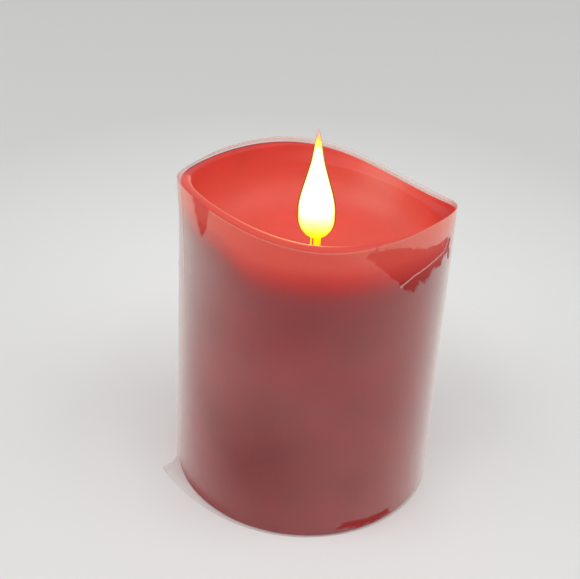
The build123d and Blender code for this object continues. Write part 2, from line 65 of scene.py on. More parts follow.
def addNode(tree, kind, inputs=None, stops=(), **settings):
    # one node with its settings and links, a shader's kind without its prefix; stops fill a ramp:
    # position, and sRGB hex or a level from 0 to 1
    node = tree.nodes.new(kind if "Node" in kind else "ShaderNode" + kind)
    for name, value in settings.items():
        setattr(node, name, value)
    feed(tree, node, inputs or {})
    if stops:
        elements = node.color_ramp.elements
        while len(elements) < len(stops):
            elements.new(0.5)
        for element, (at, tone) in zip(elements, stops):
            element.position = at
            element.color = linearColour(tone) if isinstance(tone, str) else (tone, tone, tone, 1.0)
    return node


def startMaterial(name, sockets):
    # a named material, its tree, its Principled shader and the piece's own coordinates
    material = bpy.data.materials.new(name)
    material.use_nodes = True
    tree = material.node_tree
    shader = tree.nodes["Principled BSDF"]
    for key, value in sockets.items():
        shader.inputs[key].default_value = value
    place = addNode(tree, "TexCoord").outputs["Object"]
    return material, tree, shader, place


def smoothStep(low, high, value):
    t = min(1.0, max(0.0, (value - low) / (high - low)))
    return t * t * (3 - 2 * t)


def bump2d(u, v, centreU, centreV, reachU, reachV):
    # a soft hill, 1 at its centre
    return math.exp(-(((u - centreU) / reachU) ** 2 + ((v - centreV) / reachV) ** 2))


def degreesApart(a, b):
    return (a - b + 180) % 360 - 180


def setOfRings(name, rings, closed, attributes=None):
    # joins rings of points, each as long as the next, into one skin; closed joins the last ring to the first
    mesh = bpy.data.meshes.new(name)
    count = len(rings[0])
    points = [p for ring in rings for p in ring]
    faces = []
    for i in range(len(rings) if closed else len(rings) - 1):
        a, b = i * count, (i + 1) % len(rings) * count
        faces += [(a + j, a + (j + 1) % count, b + (j + 1) % count, b + j) for j in range(count)]
    mesh.from_pydata(points, [], faces)
    for key, values in (attributes or {}).items():
        mesh.attributes.new(key, "FLOAT", "POINT").data.foreach_set("value", values)
    for polygon in mesh.polygons:
        polygon.use_smooth = True
    mesh.update()
    piece = bpy.data.objects.new(name, mesh)
    scene.collection.objects.link(piece)
    return piece


def faceOutwards(piece):
    work = bmesh.new()
    work.from_mesh(piece.data)
    bmesh.ops.recalc_face_normals(work, faces=work.faces)
    work.to_mesh(piece.data)
    work.free()


# ---- Camera, light and floor

cameraValues = {
    "distance": 446.8 * mm,  # from the foot of the candle's axis
    "elevation": 40.0,
    "pan": 0.877,
    "tilt": 6.333,
    "roll": -4.009,
    "lens": 89.84,
    "sensor": 36.0,
}
lightValues = {
    "skyColour": "#F3F4F4",
    "skyStrength": 0.63,
    "keyPower": 1.9,
    "keySize": 0.6,
    "keyPlace": (-0.42, -0.25, 0.65),
    "fillPower": 2.7,
    "fillSize": 0.8,
    "fillPlace": (0.6, -0.2, 0.75),
    "floorHalf": 3.0,
}


def turned(vector, axis, degrees):
    return Matrix.Rotation(math.radians(degrees), 3, axis) @ vector


def makeCamera(values):
    rise = math.radians(values["elevation"])
    place = Vector((0, -math.cos(rise), math.sin(rise))) * values["distance"]
    ahead = -place.normalized()
    right = ahead.cross(Vector((0, 0, 1))).normalized()
    up = right.cross(ahead)
    ahead, right = turned(ahead, up, values["pan"]), turned(right, up, values["pan"])
    ahead, up = turned(ahead, right, values["tilt"]), turned(up, right, values["tilt"])
    right, up = turned(right, ahead, values["roll"]), turned(up, ahead, values["roll"])
    data = bpy.data.cameras.new("camera")
    data.lens = values["lens"]
    data.sensor_width = values["sensor"]
    data.clip_start = 0.01
    camera = bpy.data.objects.new("camera", data)
    scene.collection.objects.link(camera)
    turn = Matrix((right, up, -ahead)).transposed().to_4x4()
    camera.matrix_world = Matrix.Translation(place) @ turn
    scene.camera = camera


def makeAreaLight(name, place, size, power):
    data = bpy.data.lights.new(name, "AREA")
    data.energy = power
    data.size = size
    light = bpy.data.objects.new(name, data)
    light.location = place
    light.rotation_euler = (-Vector(place)).to_track_quat("-Z", "Y").to_euler()
    scene.collection.objects.link(light)


def paperMaterial():
    # studio paper, pressed: a matt white, with painted shade that makes it a little greyer away from the
    # candle
    material, tree, shader, place = startMaterial("studio paper, pressed", {"Roughness": 0.9})
    cloud = addNode(tree, "TexNoise", {"Vector": place, "Scale": 1 / (60 * mm), "Detail": 2.0})
    # painted shade: the paper greys with distance from a point just behind the candle
    falloffDistance = addNode(tree, "VectorMath", {0: place, 1: (0, 40 * mm, 0)}, operation="DISTANCE")
    away = addNode(tree, "MapRange", {
        "Value": falloffDistance.outputs["Value"], "From Min": 70 * mm, "From Max": 205 * mm})
    tone = addNode(tree, "Math", {0: cloud, 1: 0.1, 2: away}, operation="MULTIPLY_ADD")
    paper = addNode(tree, "ValToRGB", {"Fac": tone}, ((0.05, "#F3F3F2"), (0.95, "#DADAD7")))
    feed(tree, shader, {"Base Color": paper})
    return material


def makeFloor(values):
    half = values["floorHalf"]
    mesh = bpy.data.meshes.new("studioFloor")
    corners = [(-half, -half, 0), (half, -half, 0), (half, half, 0), (-half, half, 0)]
    mesh.from_pydata(corners, [], [(0, 1, 2, 3)])
    floor = bpy.data.objects.new("studioFloor", mesh)
    scene.collection.objects.link(floor)
    mesh.materials.append(paperMaterial())


def makeLight(values):
    world = bpy.data.worlds.new("soft studio")
    world.use_nodes = True
    background = world.node_tree.nodes["Background"]
    background.inputs["Color"].default_value = linearColour(values["skyColour"])
    background.inputs["Strength"].default_value = values["skyStrength"]
    scene.world = world
    makeAreaLight("keyLight", values["keyPlace"], values["keySize"], values["keyPower"])
    makeAreaLight("fillLight", values["fillPlace"], values["fillSize"], values["fillPower"])


scene.view_settings.view_transform = "Standard"
makeCamera(cameraValues)
makeLight(lightValues)
makeFloor(lightValues)
print("camera, light and floor placed")

# ---- Wax pillar: cast paraffin with a bowl and a wavy, melted-looking rim

waxValues = {
    "radius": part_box("wax_shell")[1].x,
    "boreRadius": 33.3 * mm,
    "cupRadius": 34.6 * mm,
    "cupFloor": 69.5 * mm,
    "underside": 65.7 * mm,
    "fillet": 10.0 * mm,
    "holeRadius": 4.4 * mm,
    "footRound": 0.8 * mm,
    "lipRound": 1.05 * mm,
    "rimMean": 91.7 * mm,
    # waves round the rim, height, and the crest's degrees
    "rimWaves": ((1, 8.05 * mm, -112.5), (2, 1.36 * mm, -37.9), (3, 2.3 * mm, -24.7)),
    "stretchStart": 79.5 * mm,
    "lipDepth": 1.3 * mm,
    "lipThins": (20.0, 82.0, 0.86, 9.0 * mm),  # centre and reach in degrees, share of the lip's width, depth
    # painted shade, where the wax colour is darkened: degrees, height, reach in degrees, reach in height, how
    # much
    "dark": ((-118, 24 * mm, 24, 20 * mm, 0.26), (-78, 20 * mm, 40, 16 * mm, 0.12),
             (-150, 78 * mm, 20, 9 * mm, 0.12)),
    "turns": 288,
    "unevenness": 0.12 * mm,
    "lumpSize": 14.0 * mm,
}


def rimHeight(x, y, values=waxValues):
    height = values["rimMean"]
    for waves, size, crest in values["rimWaves"]:
        fade = (math.hypot(x, y) / values["radius"]) ** waves
        height += size * fade * math.cos(waves * (math.atan2(y, x) - math.radians(crest)))
    return height


def arc(centre, radius, start, end, steps):
    angles = [math.radians(start + (end - start) * i / steps) for i in range(steps + 1)]
    return [(centre[0] + radius * math.cos(a), centre[1] + radius * math.sin(a)) for a in angles]


def run(start, end, steps):
    # points from start up to but not including end
    return [tuple(s + (e - s) * i / steps for s, e in zip(start, end)) for i in range(steps)]


def waxProfile(v):
    # the shell's section, anticlockwise from the bore's lower edge: (radius, height, share of the inside)
    foot, lip, fillet = v["footRound"], v["lipRound"], v["fillet"]
    out, cup, bore, hole = v["radius"], v["cupRadius"], v["boreRadius"], v["holeRadius"]
    top, floor, under = v["rimMean"], v["cupFloor"], v["underside"]
    outside = run((bore, 0), (out - foot, 0), 3)
    outside += arc((out - foot, foot), foot, -90, 0, 4)
    outside += run((out, foot + 0.5 * mm), (out, top - lip), 64)
    outside += arc((out - lip, top - lip), lip, 0, 90, 6)
    inside = arc((cup + lip, top - lip), lip, 90, 180, 6)
    inside += run((cup, top - lip - 0.4 * mm), (cup, floor + fillet), 14)
    inside += arc((cup - fillet, floor + fillet), fillet, 0, -90, 16)[1:]
    inside += run((cup - fillet - 1.0 * mm, floor), (hole + 0.5 * mm, floor), 12)
    inside += arc((hole + 0.5 * mm, floor - 0.5 * mm), 0.5 * mm, 90, 180, 3)
    hidden = run((hole, floor - 0.8 * mm), (hole, under), 3)
    hidden += run((hole, under), (bore - fillet, under), 6)
    hidden += arc((bore - fillet, under - fillet), fillet, 90, 0, 10)
    hidden += run((bore, under - fillet - 1 * mm), (bore, 0), 20)
    parts = ((outside, 0.0), (inside, 1.0), (hidden, 0.0))
    return [(r, z, share) for points, share in parts for r, z in points]


def waxGlow(x, y, z, inside):
    # how strongly the lamp's light shows through the wax here, from 0 to 1, as a painted glow
    if inside:
        reach = math.hypot(x, y) / waxValues["cupRadius"]
        depth = 1 - smoothStep(70 * mm, 92 * mm, z)
        # painted shade: the glow falls away round the hole in the floor
        holeShade = 1 - smoothStep(0.125, 0.15, reach)
        # painted highlight along the lip's inner crest
        crest = bump2d(math.hypot(x, y), 0, waxValues["cupRadius"] + 0.4 * mm, 0, 0.45 * mm, 1)
        around = math.degrees(math.atan2(y, x))
        wall = smoothStep(0.8, 0.95, reach)
        # painted sheen on the inner wall at the back right; the glow is dimmed on the right wall
        pale = bump2d(degreesApart(around, 58), z, 0, 88 * mm, 20, 12 * mm) * wall
        dull = bump2d(degreesApart(around, -14), z, 0, 88 * mm, 36, 14 * mm) * wall
        left = 1 - smoothStep(-110, -60, around)
        lip = 0.15 * smoothStep(1.0, 1.03, reach) * left
        return 0.69 + 0.2 * depth + 0.34 * crest * left + lip + 0.28 * pale - 0.2 * dull - 0.4 * holeShade
    # painted shade: the glow falls away along the top outer edge at the back
    behind = 1 - smoothStep(70, 95, abs(degreesApart(math.degrees(math.atan2(y, x)), 90)))
    edge = behind * smoothStep(-1.4 * mm, -0.7 * mm, z - rimHeight(x, y))
    short = 8 * mm * (1 - smoothStep(-136, -112, degreesApart(math.degrees(math.atan2(y, x)), 0)))
    return 0.84 * smoothStep(75 * mm + short, 92 * mm + 0.4 * short, z) ** 1.2 * (1 - 0.8 * edge)


def lampSpill(degrees, r, z):
    # the lamp's yellow light caught by the lip in front of the flame; z counts from the rim
    v = waxValues
    low = smoothStep(v["cupRadius"] - 0.6 * mm, v["cupRadius"] + 0.2 * mm, r)
    ahead = bump2d(degreesApart(degrees, -101), 0, 0, 0, 21, 1)
    crest = smoothStep(-1.5 * mm, -0.6 * mm, z)
    return ahead * crest * low * (1 - smoothStep(v["cupRadius"] + 0.4 * mm, v["cupRadius"] + 1.3 * mm, r))


def paintedWaxShade(degrees, z):
    # how much painted shade darkens the wax colour here
    return sum(much * bump2d(degreesApart(degrees, turn), z, 0, height, wide, tall)
               for turn, height, wide, tall, much in waxValues["dark"])


def thinnedLip(r, degrees, z, share):
    # draws the bowl's wall out towards the outside, so that the lip comes to a narrow edge
    v = waxValues
    centre, reach, much, depth = v["lipThins"]
    if share <= 0 or r < v["cupRadius"] - 0.1 * mm:
        return r
    near = 1 - smoothStep(0.62, 1.3, abs(degreesApart(degrees, centre)) / reach)
    return r + (v["radius"] - r) * much * near * smoothStep(v["rimMean"] - depth, v["rimMean"], z)


def makeUnevenTree(values, material):
    # Geometry Nodes: soft lumps left by casting, pushed in along the normal
    tree = bpy.data.node_groups.new("castUnevenness", "GeometryNodeTree")
    face = tree.interface
    face.new_socket("Geometry", in_out="INPUT", socket_type="NodeSocketGeometry")
    for name, value in (("Depth", values["unevenness"]), ("Lump size", values["lumpSize"]), ("Seed", 4.0)):
        face.new_socket(name, in_out="INPUT", socket_type="NodeSocketFloat").default_value = value
    face.new_socket("Geometry", in_out="OUTPUT", socket_type="NodeSocketGeometry")
    start = addNode(tree, "NodeGroupInput")
    place = addNode(tree, "GeometryNodeInputPosition")
    scale = addNode(tree, "Math", {0: 1.0, 1: start.outputs["Lump size"]}, operation="DIVIDE")
    lumps = addNode(tree, "TexNoise", {
        "Vector": place, "W": start.outputs["Seed"], "Scale": scale, "Detail": 3.0,
    }, noise_dimensions="4D")
    depth = addNode(tree, "Math", {0: lumps, 1: start.outputs["Depth"]}, operation="MULTIPLY")
    inwards = addNode(tree, "Math", {0: depth, 1: -1.0}, operation="MULTIPLY")
    normal = addNode(tree, "GeometryNodeInputNormal")
    push = addNode(tree, "VectorMath", {0: normal, "Scale": inwards}, operation="SCALE")
    moved = addNode(tree, "GeometryNodeSetPosition", {"Geometry": start.outputs["Geometry"], "Offset": push})
    real = addNode(tree, "GeometryNodeRealizeInstances", {"Geometry": moved})
    dressed = addNode(tree, "GeometryNodeSetMaterial", {"Geometry": real, "Material": material})
    addNode(tree, "NodeGroupOutput", {"Geometry": dressed})
    return tree


def bakeTree(piece, tree, choices=None):
    # runs a Geometry Nodes tree on a piece and keeps the result as its plain mesh
    modifier = piece.modifiers.new(tree.name, "NODES")
    modifier.node_group = tree
    for item in tree.interface.items_tree:
        if item.in_out == "INPUT" and choices and item.name in choices:
            modifier[item.identifier] = choices[item.name]
    graph = bpy.context.evaluated_depsgraph_get()
    mesh = bpy.data.meshes.new_from_object(piece.evaluated_get(graph), depsgraph=graph)
    piece.modifiers.remove(modifier)
    piece.data = mesh
    return piece


def waxMaterial():
    # dyed paraffin wax, cast: satin and a little see-through, cloudy, with a few pinholes; it glows
    # where the lamp is near, and painted shade darkens its colour in a few patches
    material, tree, shader, place = startMaterial("dyed paraffin wax, cast", {
        "Specular IOR Level": 0.36, "IOR": 1.44, "Subsurface Weight": 0.22, "Subsurface Scale": 3 * mm,
        "Subsurface Radius": (1.0, 0.22, 0.14)})
    cloud = addNode(tree, "TexNoise", {"Vector": place, "Scale": 1 / (14 * mm), "Detail": 4.0})
    colour = addNode(tree, "ValToRGB", {"Fac": cloud}, ((0.3, "#921A21"), (0.72, "#A42028")))
    # painted shade: the colour is mixed towards near-black by the dark attribute
    dark = addNode(tree, "Attribute", attribute_name="dark").outputs["Fac"]
    shadedWaxColour = addNode(tree, "Mix", {0: dark, 6: colour, 7: linearColour("#12040A")}, data_type="RGBA")
    feed(tree, shader, {"Base Color": shadedWaxColour.outputs[2]})
    glow = addNode(tree, "Attribute", attribute_name="glow").outputs["Fac"]
    spill = addNode(tree, "Attribute", attribute_name="spill").outputs["Fac"]
    warm = addNode(tree, "ValToRGB", {"Fac": glow}, (
        (0.0, "#5A0500"), (0.45, "#E63826"), (0.7, "#F2543E"), (0.9, "#FF745C"), (1.0, "#FF9A86")))
    lit = addNode(tree, "Mix", {0: spill, 6: warm, 7: linearColour("#FFC83C")}, data_type="RGBA")
    feed(tree, shader, {"Emission Color": lit.outputs[2]})
    yellow = addNode(tree, "Math", {0: spill, 1: 1.3}, operation="MULTIPLY")
    strength = addNode(tree, "Math", {0: glow, 1: 0.5, 2: yellow}, operation="MULTIPLY_ADD")
    feed(tree, shader, {"Emission Strength": strength})
    fine = addNode(tree, "TexNoise", {"Vector": place, "Scale": 1 / (1.2 * mm), "Detail": 5.0})
    pits = addNode(tree, "TexVoronoi", {"Vector": place, "Scale": 1 / (2.4 * mm)})
    dent = addNode(tree, "MapRange", {"Value": pits.outputs["Distance"], "From Max": 0.14, "To Max": 0.8})
    height = addNode(tree, "Math", {0: fine, 1: dent}, operation="ADD")
    bump = addNode(tree, "Bump", {"Height": height, "Strength": 0.5, "Distance": 0.004 * mm})
    rough = addNode(tree, "MapRange", {"Value": cloud, "To Min": 0.38, "To Max": 0.52})
    feed(tree, shader, {"Normal": bump, "Roughness": rough})
    return material


def makePillar(v):
    profile = waxProfile(v)
    lipStart = v["rimMean"] - v["lipDepth"]
    rings, glow, spill, dark = [], [], [], []
    for r, z, inside in profile:
        ring = []
        for i in range(v["turns"]):
            angle = math.tau * i / v["turns"]
            degrees = math.degrees(angle)
            share = min(1.0, max(0.0, (z - v["stretchStart"]) / (lipStart - v["stretchStart"])))
            wide = thinnedLip(r, degrees, z, share)
            x, y = wide * math.cos(angle), wide * math.sin(angle)
            lift = share * (rimHeight(x, y) - v["rimMean"])
            ring.append((x, y, z + lift))
            glow.append(waxGlow(x, y, z + lift, inside))
            spill.append(lampSpill(degrees, r, z - v["rimMean"]))
            # painted shade, on the outside only
            dark.append(0.0 if inside else paintedWaxShade(degrees, z + lift))
        rings.append(ring)
    pillar = setOfRings("waxPillar", rings, True, {"glow": glow, "spill": spill, "dark": dark})
    faceOutwards(pillar)
    bakeTree(pillar, makeUnevenTree(v, waxMaterial()))
    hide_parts("wax_shell")
    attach(pillar, "candle")
    print("wax pillar:", len(pillar.data.polygons), "faces")
    return pillar


makePillar(waxValues)

# ---- Clear wrap: polypropylene film round the wax, hazy, stuck to it in a few wet-looking patches

filmValues = {
    "highest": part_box("wrap_film")[1].z,
    "clearance": 0.18 * mm,
    "thickness": 0.09 * mm,
    "rise": 0.4 * mm,  # how far its top stands over the wax, give or take the tilt
    "tilt": 1.35 * mm,
    "tiltToward": 58.0,
    "frontSteps": 360,  # finer over the front half, which carries the marks
    "backSteps": 90,
    "bands": ((0.0, 0.07, 14), (0.07, 0.76, 20), (0.76, 1.0, 73)),  # shares of the height, and rows in each
    "flareHeight": 4.6 * mm,
    "topBand": 0.2 * mm,
    # painted highlight along the film's top edge
    "topEdgeHighlight": 0.12,
    # painted light on the film just over the back rim, lit by the wax: middle of the back in degrees, amount,
    # height over the wax, reach
    "rimGlowOnFilm": (80.0, 0.4, 0.3 * mm, 0.5 * mm),
    "flareReach": 5.2 * mm,
    "flareEdge": -164.0,  # the wrap's free edge, past which it lies close again
    "flareSpread": 22.0,
    "edgeSpread": 3.0,
    "ripple": 0.06 * mm,
    "markReach": 4.0,  # mm, the farthest that a patch or crease counts
    # outlines of the patches stuck to the wax: degrees round, height in mm
    "patches": (
        ((-64, 97), (-66, 95.5), (-52, 94.3), (-40, 91), (-30, 89.5), (-25, 89.5), (-18, 87.5), (-20, 83),
         (-24, 84), (-28, 82), (-33, 82.6), (-36, 81), (-39, 79.6), (-42, 81.6), (-45, 78.6), (-50, 80.4),
         (-56, 85), (-62, 89), (-70, 94)),
        ((-150, 100), (-147, 95), (-144.5, 92), (-141.5, 89.4), (-139, 92), (-137.5, 96), (-136, 100.5)),
        ((-21, 84.8), (-17, 83.5), (-16.6, 80.3), (-19, 80.6)),
        ((-73, 2.4), (-68, 4.4), (-58, 3.9), (-46, 4.0), (-44, 1.6), (-53, 1.2), (-64, 1.5)),
    ),
    # creases and the wrap's own welded edge, as pale lines: partly the welded edge's own colour and partly a
    # painted highlight along the creases
    "creases": (
        ((-53, 82.3), (-46, 84.2), (-35, 85.2), (-25, 85.4), (-21, 88.5)),
        ((-171, 71), (-167, 59), (-164, 43), (-160, 12)),
        ((-163, 97), (-160, 84), (-157, 70)),
    ),
    # soft changes in the haze, and painted sheen near the left and right silhouettes: degrees, height, reach
    # in degrees, reach in height, amount
    "hazeAndSheenHills": (
        (-165, 74 * mm, 24, 22 * mm, 0.12), (-167, 40 * mm, 13, 50 * mm, 0.3),
        (-6, 50 * mm, 17, 70 * mm, 0.55), (-140, 82 * mm, 16, 12 * mm, 0.035),
        (-85, 92 * mm, 34, 9 * mm, -0.06), (-120, 22 * mm, 26, 16 * mm, -0.035),
        (-100, 66 * mm, 20, 12 * mm, -0.02), (-52, 96 * mm, 26, 5 * mm, 0.07),
        (-50, 22 * mm, 34, 26 * mm, -0.012), (-158, 1 * mm, 30, 5 * mm, -0.05),
    ),
}


def reachToLine(u, v, points):
    # distance from a point to a broken line
    nearest = 1e9
    for (u0, v0), (u1, v1) in zip(points, points[1:]):
        du, dv = u1 - u0, v1 - v0
        t = min(1.0, max(0.0, ((u - u0) * du + (v - v0) * dv) / (du * du + dv * dv)))
        nearest = min(nearest, math.hypot(u - u0 - t * du, v - v0 - t * dv))
    return nearest


def reachInside(u, v, outline):
    # how far a point lies inside a closed outline, below zero outside it
    closed = (*outline, outline[0])
    inside = False
    for (u0, v0), (u1, v1) in zip(closed, closed[1:]):
        if (v0 > v) != (v1 > v) and u < u0 + (v - v0) / (v1 - v0) * (u1 - u0):
            inside = not inside
    return reachToLine(u, v, closed) * (1 if inside else -1)


def unrolled(points):
    # degrees round the wrap become mm along it
    perDegree = math.radians(1) * waxValues["radius"] / mm
    return [(degrees * perDegree, height) for degrees, height in points]


patchOutlines = [unrolled(points) for points in filmValues["patches"]]
creaseLines = [unrolled(points) for points in filmValues["creases"]]


def filmMarks(degrees, z):
    # mm inside a stuck patch, mm from the nearest crease, and the haze with painted sheen near the
    # silhouettes
    around = degreesApart(degrees, 0)
    far = filmValues["markReach"]
    patch, crease, haze = -far, far, 0.0
    if around < 0:  # the back half carries no marks
        (u, v), = unrolled([(around, z / mm)])
        patch = max(patch, max(reachInside(u, v, outline) for outline in patchOutlines))
        crease = min(crease, min(reachToLine(u, v, line) for line in creaseLines))
    for angle, height, wide, tall, amount in filmValues["hazeAndSheenHills"]:
        haze += amount * bump2d(degreesApart(degrees, angle), z, 0, height, wide, tall)
    return patch, crease, haze


def filmOffset(degrees, z, patch, crease):
    v = filmValues
    flare = v["flareReach"] * max(0.0, 1 - z / v["flareHeight"]) ** 2
    past = degreesApart(degrees, v["flareEdge"])
    flare *= math.exp(-(past / v["flareSpread"]) ** 1.15 if past > 0 else past / v["edgeSpread"])
    lifted = 0.85 * mm * bump2d(degreesApart(degrees, 180), z, 0, 96 * mm, 12, 10 * mm)
    angle = math.radians(degrees)
    ripple = noise.noise(Vector((2.2 * math.cos(angle), 2.2 * math.sin(angle), z * 38))) * v["ripple"]
    fold = 0.12 * mm * math.exp(-(crease / 0.5) ** 2)
    loose = v["clearance"] + ripple + lifted
    return loose * (1 - 0.7 * smoothStep(-0.4, 0.4, patch)) + flare + fold


def filmTop(degrees):
    v = filmValues
    angle = math.radians(degrees)
    radius = waxValues["radius"]
    rim = rimHeight(radius * math.cos(angle), radius * math.sin(angle))
    lean = v["tilt"] * math.cos(math.radians(degrees - v["tiltToward"]))
    wander = 0.2 * mm * noise.noise(Vector((3 * math.cos(angle), 3 * math.sin(angle), 5)))
    return min(rim + v["rise"] + lean + wander, v["highest"])


def filmMaterial():
    # polypropylene film, cast: cloudy white and satin where it stands off, pale where it turns away as a
    # painted sheen, pinker near the top as a painted glow from the lit wax, and clear where it is stuck down
    material, tree, shader, place = startMaterial("polypropylene film, cast", {
        "Roughness": 0.22, "IOR": 1.49})
    cloud = addNode(tree, "TexNoise", {"Vector": place, "Scale": 1 / (30 * mm), "Detail": 3.0})
    haze = addNode(tree, "MapRange", {
        "Value": cloud, "From Min": 0.3, "From Max": 0.7, "To Min": 0.038, "To Max": 0.056})
    # the haze attribute, with painted sheen, glow and highlight in it
    hazeAndPaintedLight = addNode(tree, "Attribute", attribute_name="haze").outputs["Fac"]
    both = addNode(tree, "Math", {0: haze, 1: hazeAndPaintedLight}, operation="ADD")
    veil = addNode(tree, "Math", {0: both, 1: 0.008}, operation="MAXIMUM")
    patch = addNode(tree, "Attribute", attribute_name="patch").outputs["Fac"]
    ragged = addNode(tree, "TexNoise", {
        "Vector": place, "Scale": 1 / (1.2 * mm), "Detail": 6.0, "Roughness": 0.72})
    wander = addNode(tree, "MapRange", {"Value": ragged, "To Min": -2.4, "To Max": 2.4})
    edge = addNode(tree, "Math", {0: patch, 1: wander}, operation="ADD")
    loose = addNode(tree, "MapRange", {
        "Value": edge, "From Min": -0.1, "From Max": 0.1, "To Min": 1.0, "To Max": 0.0})
    crease = addNode(tree, "Attribute", attribute_name="crease").outputs["Fac"]
    # pale lines: a painted highlight along the creases, and the welded edge's own colour
    line = addNode(tree, "MapRange", {
        "Value": crease, "From Min": 0.1, "From Max": 0.34, "To Min": 0.24, "To Max": 0.0})
    stuck = addNode(tree, "Math", {0: loose, 1: -0.13, 2: 0.13}, operation="MULTIPLY_ADD")
    alpha = addNode(tree, "Math", {0: veil, 1: loose, 2: stuck}, operation="MULTIPLY_ADD")
    height = addNode(tree, "SeparateXYZ", {"Vector": place}).outputs["Z"]
    # painted glow: the film's colour turns pinker towards the rim, over the lit wax
    high = addNode(tree, "MapRange", {"Value": height, "From Min": 84 * mm, "From Max": 96 * mm})
    film = addNode(tree, "ValToRGB", {"Fac": high}, ((0.0, "#F6E4DF"), (1.0, "#FFC6B4")))
    pale = addNode(tree, "Math", {
        0: line, 1: 4.0, 2: loose}, operation="MULTIPLY_ADD", use_clamp=True)
    wet = addNode(tree, "Mix", {0: pale, 6: linearColour("#D01C0C"), 7: film}, data_type="RGBA")
    feed(tree, shader, {"Base Color": wet.outputs[2]})
    # painted highlight: a pale line along each stuck patch's edge
    fromShore = addNode(tree, "Math", {0: edge}, operation="ABSOLUTE")
    shoreHighlight = addNode(tree, "MapRange", {
        "Value": fromShore, "From Min": 0.05, "From Max": 0.28, "To Min": 0.06, "To Max": 0.0})
    dust = addNode(tree, "TexVoronoi", {"Vector": place, "Scale": 1 / (5 * mm)})
    speck = addNode(tree, "MapRange", {
        "Value": dust.outputs["Distance"], "From Min": 0.024, "From Max": 0.034,
        "To Min": 0.35, "To Max": 0.0})
    # painted sheen: the film turns paler towards its silhouettes
    facing = addNode(tree, "LayerWeight", {"Blend": 0.5}).outputs["Facing"]
    grazing = addNode(tree, "Math", {0: facing, 1: 3.2}, operation="POWER")
    grazingSheen = addNode(tree, "Math", {0: grazing, 1: 0.54}, operation="MULTIPLY")
    free = addNode(tree, "Math", {0: loose, 1: 0.7, 2: 0.3}, operation="MULTIPLY_ADD")
    sheen = addNode(tree, "Math", {0: grazingSheen, 1: free}, operation="MULTIPLY")
    for part in (shoreHighlight, line, speck, sheen):
        alpha = addNode(tree, "Math", {0: alpha, 1: part}, operation="ADD", use_clamp=True)
    feed(tree, shader, {"Alpha": alpha})
    return material


def makeFilm(v):
    rings, marks = [], []
    outer = waxValues["radius"]
    turns = [-180 + 180 * i / v["frontSteps"] for i in range(v["frontSteps"])]
    turns += [180 * i / v["backSteps"] for i in range(v["backSteps"])]
    shares = [low + (high - low) * i / steps for low, high, steps in v["bands"] for i in range(steps)]
    for share in (*shares, 1.0, 1.1):
        ring = []
        for degrees in turns:
            angle = math.radians(degrees)
            z = (filmTop(degrees) - v["topBand"]) * min(1, share) + v["topBand"] * (share > 1)
            patch, crease, haze = filmMarks(degrees, z)
            # painted light: the film is paler just over the back rim and along its top edge
            middle, much, height, reach = v["rimGlowOnFilm"]
            back = 1 - smoothStep(70, 110, abs(degreesApart(degrees, middle)))
            rim = rimHeight(outer * math.cos(angle), outer * math.sin(angle))
            haze += back * much * bump2d(z, 0, rim + height, 0, reach, 1) + v["topEdgeHighlight"] * (share >= 1)
            r = outer + filmOffset(degrees, z, patch, crease)
            ring.append((r * math.cos(angle), r * math.sin(angle), z))
            marks.append((patch, crease, haze))
        rings.append(ring)
    patch, crease, haze = zip(*marks)
    film = setOfRings("clearWrap", rings, False, {"patch": patch, "crease": crease, "haze": haze})
    film.data.materials.append(filmMaterial())
    wall = film.modifiers.new("filmThickness", "SOLIDIFY")
    wall.thickness = v["thickness"]
    wall.offset = 1.0
    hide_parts("wrap_film")
    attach(film, "candle")
    print("clear wrap:", len(film.data.polygons), "faces")


makeFilm(filmValues)

# ---- Flame vane: translucent moulding, lit to white in its belly, with slit neck, wire eye and magnet foot

flameValues = {
    "tip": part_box("flame_vane")[1].z,
    "halfNeck": 1.45 * mm,
    "halfThick": 0.8 * mm,
    # height and half-width of the flame's belly and taper, in mm
    "stations": (
        (77.2, 1.45), (78.0, 2.9), (79.8, 4.4), (82.0, 5.17), (84.5, 5.35), (87.4, 5.25),
        (90.5, 4.7), (94.0, 3.8), (97.2, 2.97), (101.4, 1.95), (105.5, 1.15), (109.0, 0.55), (110.9, 0.0),
    ),
    "lean": 0.033,
    "deepInset": 1.2,
    "rows": 84,
    "around": 28,
    "slit": (-0.975 * mm, -0.525 * mm, 71.3 * mm, 77.5 * mm),
    "footTop": 48.2 * mm,
    "footLow": 47.2 * mm,
    "pivot": 64.0 * mm,
}


def halfWidth(height, stations):
    # Catmull-Rom through the stations
    last = len(stations) - 1
    for i in range(last):
        z0, w0 = stations[i]
        z1, w1 = stations[i + 1]
        if height <= z1 or i == last - 1:
            t = min(1.0, max(0.0, (height - z0) / (z1 - z0)))
            before = stations[max(0, i - 1)]
            after = stations[min(last, i + 2)]
            slope0 = (w1 - before[1]) / (z1 - before[0]) * (z1 - z0)
            slope1 = (after[1] - w0) / (after[0] - z0) * (z1 - z0)
            return ((2 * t ** 3 - 3 * t ** 2 + 1) * w0 + (t ** 3 - 2 * t ** 2 + t) * slope0
                    + (3 * t ** 2 - 2 * t ** 3) * w1 + (t ** 3 - t ** 2) * slope1)


def addBar(work, low, high):
    made = bmesh.ops.create_cube(work, size=1.0)
    centre = [(a + b) / 2 for a, b in zip(low, high)]
    size = [b - a for a, b in zip(low, high)]
    fitted = Matrix.Translation(centre) @ Matrix.Diagonal((*size, 1))
    bmesh.ops.transform(work, matrix=fitted, verts=made["verts"])


